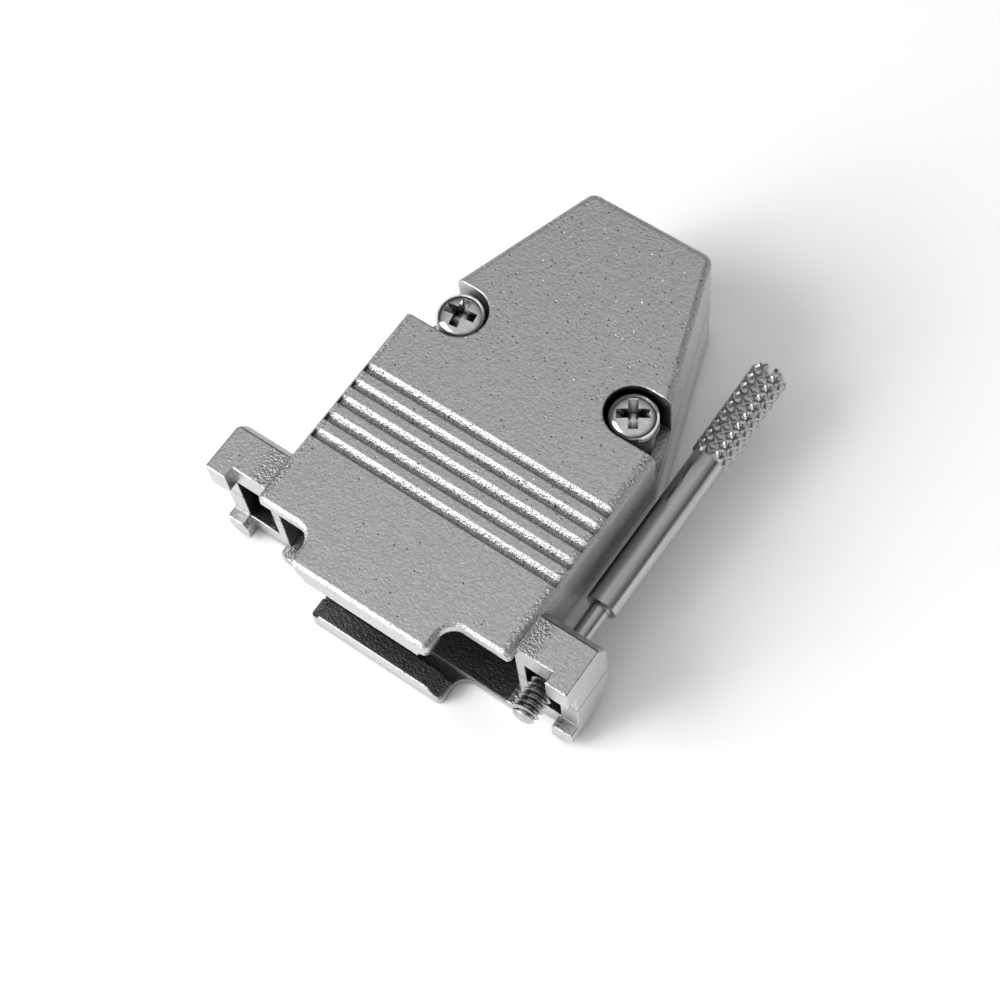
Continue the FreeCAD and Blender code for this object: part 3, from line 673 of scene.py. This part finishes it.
@dataclass
class Studio:
    """Pale floor, soft lamps and the photo's camera."""

    # Camera fitted to the photo: place, angles in degrees, focal length in pixels.
    camera_place: tuple[float, float, float] = (61.69 * MM, -67.38 * MM, 186.02 * MM)
    azimuth: float = 43.97
    elevation: float = 64.42
    roll: float = -9.52
    focal_pixels: float = 2063.6
    sensor: float = 36.0
    frame_pixels: float = 1000.0
    clip: tuple[float, float] = (0.005, 10.0)
    # Floor: its tone for the light that it sends on, and whiter tones for what is seen of it.
    floor_half: float = 0.6
    floor_tone: float = 0.8
    floor_white: float = 1.32
    floor_far_white: float = 2.0
    floor_fade: tuple[float, float] = (0.12, 0.6)
    # Room: strengths by the rise of a ray, and a window round the direction window_way.
    white_rise: tuple[float, float] = (0.1, 0.26)
    horizon: float = 0.06
    zenith: float = 0.66
    ceiling_rise: tuple[float, float] = (0.5, 0.9)
    window: float = 0.95
    window_way: tuple[float, float, float] = (-0.36, -0.9, 0.24)
    window_fade: tuple[float, float] = (0.68, 0.96)
    lamps: tuple[Softbox, ...] = (
        Softbox("left_softbox", place=(-0.36, -0.36, 0.42), side=0.4, watts=2.1),
        Softbox("front_softbox", place=(-0.24, -0.47, 0.17), side=0.25, watts=0.8))

    def build_camera(self) -> None:
        """Put the camera where the photo was taken from."""
        round_z, rise = math.radians(self.azimuth), math.radians(self.elevation)
        roll = math.radians(self.roll)
        back = Vector((math.sin(round_z) * math.cos(rise), -math.cos(round_z) * math.cos(rise),
                       math.sin(rise)))
        flat_right = (-back).cross(Vector((0, 0, 1))).normalized()
        flat_up = flat_right.cross(-back)
        right = flat_right * math.cos(roll) + flat_up * math.sin(roll)
        up = flat_up * math.cos(roll) - flat_right * math.sin(roll)
        data = bpy.data.cameras.new("photo_camera")
        data.sensor_width = self.sensor
        data.lens = self.focal_pixels * self.sensor / self.frame_pixels
        data.clip_start, data.clip_end = self.clip
        camera = bpy.data.objects.new("photo_camera", data)
        bpy.context.scene.collection.objects.link(camera)
        turn = Matrix((right, up, back)).transposed().to_4x4()
        camera.matrix_world = Matrix.Translation(Vector(self.camera_place)) @ turn
        bpy.context.scene.camera = camera

    def build_floor(self) -> None:
        """Lay the plain pale floor."""
        deselect()
        bpy.ops.mesh.primitive_plane_add(size=2 * self.floor_half, location=(0, 0, 0))
        floor = bpy.context.object
        floor.name = "floor"
        tree = new_material("pale_floor")
        shader = tree.add("ShaderNodeBsdfDiffuse")
        far = tree.add("ShaderNodeVectorMath", operation="LENGTH")
        tree.link(tree.add("ShaderNodeTexCoord").outputs["Object"], far.inputs[0])
        white = tree.ramp(far.outputs["Value"], *self.floor_fade, self.floor_white,
                          self.floor_far_white)
        extra = tree.product(tree.seen_rays(), tree.math("SUBTRACT", white, self.floor_tone))
        tree.link(tree.math("ADD", extra, self.floor_tone), shader.inputs["Color"])
        tree.finish(shader.outputs["BSDF"])
        floor.data.materials.append(tree.owner)

    def build_world(self) -> None:
        """Surround the object with white walls, a grey ceiling and a pale window in front."""
        world = bpy.data.worlds.new("white_room")
        bpy.context.scene.world = world
        tree = NodeTree(world)
        way = tree.add("ShaderNodeTexCoord").outputs["Generated"]
        rise = tree.split(way)["Z"]
        aim = tree.dot(way, Vector(self.window_way).normalized())
        window = tree.ramp(aim, *self.window_fade, 0.0, self.window)
        ceiling = tree.ramp(rise, *self.ceiling_rise, self.horizon, self.zenith)
        room = tree.math("MAXIMUM", tree.math("ADD", window, ceiling),
                         tree.ramp(rise, *self.white_rise, 1.0, 0.0))
        background = tree.add("ShaderNodeBackground", Color=(1.0, 1.0, 1.0, 1.0))
        tree.link(room, background.inputs["Strength"])
        tree.finish(background.outputs["Background"])

    def build(self) -> None:
        """Build the floor, the lamps, the world and the camera."""
        self.build_floor()
        for lamp in self.lamps:
            lamp.build()
        self.build_world()
        self.build_camera()


@dataclass
class Thumbscrew:
    """Captive jackscrew: 4-40 thread, thin shank, sleeve and diamond-knurled grip."""

    finish: bpy.types.Material
    steps: int = 72
    # Thread: its crest and flank as shares of the pitch, wound too long and then trimmed.
    pitch: float = 0.635 * MM
    crest: float = 1.42 * MM
    crest_share: float = 0.125
    flank_share: float = 0.3125
    spare_share: float = 0.3
    spare_turns: int = 2
    root: float = 1.07 * MM
    thread_length: float = 5.6 * MM
    chamfer: float = 0.35 * MM
    trim_over: float = 0.01 * MM
    # Low dome of the tip: share of the tip's radius and height of each point.
    dome: tuple[tuple[float, float], ...] = ((0.6, 0.0), (0.85, 0.08 * MM), (1.0, 0.22 * MM))
    # Shank and sleeve, with the point between the sleeve's end face and its edge.
    overlap: float = 0.1 * MM
    shank: float = 0.975 * MM
    shank_end: float = 13.05 * MM
    shank_fillet: float = 0.12 * MM
    sleeve: float = 1.7 * MM
    sleeve_end: float = 31.2 * MM
    sleeve_chamfer: float = 0.25 * MM
    sleeve_turn: tuple[float, float] = (0.17 * MM, 0.06 * MM)
    # Grip: starts and rows of diamonds, and faces across one diamond.
    grip: float = 1.975 * MM
    grip_end: float = 42.75 * MM
    grip_chamfer: float = 0.3 * MM
    knurl_depth: float = 0.23 * MM
    knurl_starts: int = 10
    knurl_rows: int = 9
    knurl_cells: int = 8
    knurl_steepness: float = 1.6
    knurl_rim: float = 0.1 * MM
    slot_width: float = 0.8 * MM
    slot_depth: float = 0.9 * MM
    smooth: float = 28.0

    def thread(self) -> bpy.types.Object:
        """Wind the thread's flanks and trim them to a rod with chamfered ends.

        Returns:
            The closed thread.
        """
        crest, flank = self.pitch * self.crest_share, self.pitch * self.flank_share
        spare = self.spare_share * self.pitch
        turns = round(self.thread_length / self.pitch)
        profile = []
        for turn in range(-self.spare_turns, turns + self.spare_turns):
            low = turn * self.pitch
            profile += [(self.root, low), (self.crest, low + flank),
                        (self.crest, low + flank + crest), (self.root, low + 2 * flank + crest)]
        thread = turn_profile("thread", profile, self.steps, self.pitch)
        bpy.ops.object.mode_set(mode="EDIT")
        for height, side in ((-spare, -1), (self.thread_length + spare, 1)):
            bpy.ops.mesh.select_all(action="SELECT")
            bpy.ops.mesh.bisect(plane_co=(0, 0, height), plane_no=(0, 0, side), use_fill=True,
                                clear_outer=True, threshold=CUT_REACH)
        bpy.ops.object.mode_set(mode="OBJECT")
        clean(thread)
        tip, over = self.crest - self.chamfer, self.crest + self.trim_over
        profile = [(0.0, 0.0)] + [(share * tip, height) for share, height in self.dome]
        profile += [(over, self.dome[-1][1] + self.chamfer),
                    (over, self.thread_length - self.chamfer),
                    (self.shank, self.thread_length), (0.0, self.thread_length)]
        boolean(thread, turn_profile("rod", profile, self.steps), "INTERSECT")
        return thread

    def sleeve_rod(self) -> bpy.types.Object:
        """Turn the shank and the sleeve.

        Returns:
            The closed rod between thread and grip.
        """
        inner = self.sleeve - self.sleeve_chamfer
        start, end = self.thread_length - self.overlap, self.sleeve_end + self.overlap
        out, forward = self.sleeve_turn
        profile = [(0, start), (self.shank, start),
                   (self.shank, self.shank_end - self.shank_fillet),
                   (self.shank + self.shank_fillet, self.shank_end), (inner, self.shank_end),
                   (inner + out, self.shank_end + forward),
                   (self.sleeve, self.shank_end + self.sleeve_chamfer),
                   (self.sleeve, end), (0, end)]
        return turn_profile("rod", profile, self.steps)

    def knurl(self) -> bpy.types.Object:
        """Press the diamond knurl into the grip and saw the driver slot.

        Returns:
            The closed grip.
        """
        around = self.knurl_starts * self.knurl_cells
        rows = self.knurl_rows * self.knurl_cells
        length = self.grip_end - self.sleeve_end
        run = length - 2 * self.grip_chamfer
        valley = self.grip - self.knurl_depth
        start = self.sleeve_end + self.grip_chamfer
        profile = [(0.0, self.sleeve_end), (valley - self.knurl_rim, self.sleeve_end)]
        profile += [(self.grip, start + run * row / rows) for row in range(rows + 1)]
        profile += [(valley - self.knurl_rim, self.grip_end), (0.0, self.grip_end)]
        grip = turn_profile("grip", profile, around)
        for vertex in grip.data.vertices:
            radius = math.hypot(vertex.co.x, vertex.co.y)
            if radius < valley:
                continue
            turn = math.atan2(vertex.co.y, vertex.co.x) / math.tau * self.knurl_starts
            along = (vertex.co.z - start) / run * self.knurl_rows
            left, right = (turn + along) % 1.0, (turn - along) % 1.0
            hill = min(abs(left - 0.5), abs(right - 0.5)) * 2.0
            depth = self.knurl_depth * min(1.0, hill * self.knurl_steepness)
            scale = (self.grip - depth) / radius
            vertex.co.x *= scale
            vertex.co.y *= scale
        deselect()
        bpy.ops.mesh.primitive_cube_add(size=1.0, location=(0, 0, self.grip_end))
        blade = bpy.context.object
        blade.scale = (self.slot_width, 3 * self.grip, 2 * self.slot_depth)
        bpy.ops.object.transform_apply(location=True, rotation=True, scale=True)
        boolean(grip, blade, "DIFFERENCE")
        return grip

    def build(self) -> None:
        """Build the thumbscrew in place of its plain node."""
        low, high = (Vector(corner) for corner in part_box("thumbscrew"))
        piece = join("jackscrew", [self.thread(), self.sleeve_rod(), self.knurl()])
        middle = (low + high) / 2
        place = Matrix.Translation((middle.x, low.y, middle.z))
        finish_piece(piece, place @ Matrix.Rotation(-math.pi / 2, 4, "X"), self.finish,
                     self.smooth)
        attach(piece, Body.THUMBSCREW.value)
        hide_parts("thumbscrew")
        LOG.info("built %s", piece.name)


@dataclass
class PanScrew:
    """Pan head screw with a tapered cross recess, for both screw notches."""

    finish: bpy.types.Material
    steps: int = 64
    # Head, seated at height 0: an upright rim, then a dome from dome_start degrees upwards.
    head: float = 2.5 * MM
    head_height: float = 2.1 * MM
    rim: float = 1.35 * MM
    thread: float = 1.25 * MM
    edge: float = 0.12 * MM
    dome_start: float = 8.0
    dome_parts: int = 8
    dome_powers: tuple[float, float] = (0.55, 1.3)
    # Cross recess, which narrows to recess_taper of its width at the bottom.
    recess: float = 3.4 * MM
    recess_width: float = 1.0 * MM
    recess_depth: float = 1.5 * MM
    recess_taper: float = 0.42
    recess_over: float = 0.02 * MM
    arm_reach: float = 0.25 * MM
    # Side of each screw, and the turn of its cross in degrees.
    turns: tuple[tuple[str, float], ...] = (("left", 8.0), ("right", 33.0))
    smooth: float = 35.0

    def blank(self, length: float) -> bpy.types.Object:
        """Turn the head and the shank, the seat at height 0.

        Args:
            length: Length under the head.

        Returns:
            The closed blank.
        """
        edge = self.edge
        profile = [(0, -length), (self.thread - edge, -length), (self.thread, -length + edge),
                   (self.thread, 0), (self.head - edge, 0), (self.head, edge)]
        crown = self.head_height - self.rim
        inward, upward = self.dome_powers
        for part in range(self.dome_parts + 1):
            angle = self.dome_start + (90.0 - self.dome_start) * part / self.dome_parts
            angle = math.radians(angle)
            profile.append((self.head * math.cos(angle) ** inward,
                            self.rim + crown * math.sin(angle) ** upward))
        profile[-1] = (0.0, self.head_height)
        return turn_profile("blank", profile, self.steps)

    def cutter(self) -> bpy.types.Object:
        """Shape the cross of the driver by extruding and tapering a small square.

        Returns:
            The closed cutter, its widest plane at the top of the head.
        """
        deselect()
        bpy.ops.mesh.primitive_cube_add(size=1.0)
        cross = bpy.context.object
        cross.scale = (self.recess_width, self.recess_width, self.recess_depth)
        bpy.ops.object.transform_apply(location=True, rotation=True, scale=True)
        arm = (self.recess - self.recess_width) / 2
        bpy.ops.object.mode_set(mode="EDIT")
        for way in SIDEWAYS:
            select_faces(cross, lambda normal, middle: normal.dot(way) > FACING
                         and (middle - way * middle.dot(way)).xy.length < self.arm_reach)
            bpy.ops.mesh.extrude_region_move(TRANSFORM_OT_translate={"value": tuple(way * arm)})
        select_faces(cross, lambda normal, middle: normal.z < -FACING)
        bpy.ops.transform.resize(value=(self.recess_taper, self.recess_taper, 1.0),
                                 center_override=(0, 0, 0))
        bpy.ops.object.mode_set(mode="OBJECT")
        lift = self.head_height - self.recess_depth / 2 + self.recess_over
        cross.data.transform(Matrix.Translation((0, 0, lift)))
        return cross

    def build(self) -> None:
        """Build the screw once and put a copy in each notch."""
        low, high = (Vector(corner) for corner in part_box("assembly_screw_left"))
        blank = self.blank(high.z - low.z - self.head_height)
        boolean(blank, self.cutter(), "DIFFERENCE")
        for side, turn in self.turns:
            low, high = (Vector(corner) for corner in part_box(f"assembly_screw_{side}"))
            piece = bpy.data.objects.new(f"cover_screw_{side}", blank.data.copy())
            bpy.context.scene.collection.objects.link(piece)
            middle = (low + high) / 2
            place = Matrix.Translation((middle.x, middle.y, high.z - self.head_height))
            finish_piece(piece, place @ Matrix.Rotation(math.radians(turn), 4, "Z"), self.finish,
                         self.smooth)
            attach(piece, Body.HOOD.value)
            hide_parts(f"assembly_screw_{side}")
            LOG.info("built %s", piece.name)
        bpy.data.objects.remove(blank, do_unlink=True)


@dataclass
class HoodCasting:
    """Both die-cast shells and the small fasteners that the CAD holds."""

    nodes: dict[str, bpy.types.Object]
    casting: BlastedCasting = field(default_factory=BlastedCasting)

    def dress(self) -> None:
        """Give every CAD node of the hood its own finish."""
        shell = self.casting.build()
        screw = TurnedSteel("clamp_screw_steel", tone=0.72, roughness=0.22, marks=Marks.UPRIGHT)
        strap = TurnedSteel("zinc_strap", tone=0.5, roughness=0.35, marks=Marks.ACROSS)
        nut = TurnedSteel("nut_steel", tone=0.5, roughness=0.3, marks=Marks.UPRIGHT)
        thumb = TurnedSteel("turned_thumbscrew", tone=0.44, roughness=0.3, marks=Marks.LENGTHWISE)
        screw, strap, nut, thumb = (finish.build() for finish in (screw, strap, nut, thumb))
        finishes = {"upper_shell": shell, "lower_shell": shell, "assembly_screw": screw,
                    "clamp_screw": screw, "assembly_nut": nut, "cable_clamp": strap,
                    "thumbscrew": thumb}
        for name, node in self.nodes.items():
            key = next(part for part in finishes if name.startswith(part))
            node.data.materials.clear()
            node.data.materials.append(finishes[key])
            LOG.info("dressed %s", name)


def main() -> None:
    """Load the frame, dress it and light it."""
    logging.basicConfig(level=logging.INFO)
    bpy.context.scene.view_settings.view_transform = "Standard"
    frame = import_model()
    HoodCasting(frame["nodes"]).dress()
    nickel = TurnedSteel("turned_nickel", tone=0.5, roughness=0.3, marks=Marks.LENGTHWISE)
    Thumbscrew(nickel.build()).build()
    bright = TurnedSteel("bright_screw", tone=0.72, roughness=0.12, marks=Marks.UPRIGHT)
    PanScrew(bright.build()).build()
    Studio().build()
    LOG.info("built the studio")


if __name__ == "__main__":
    main()
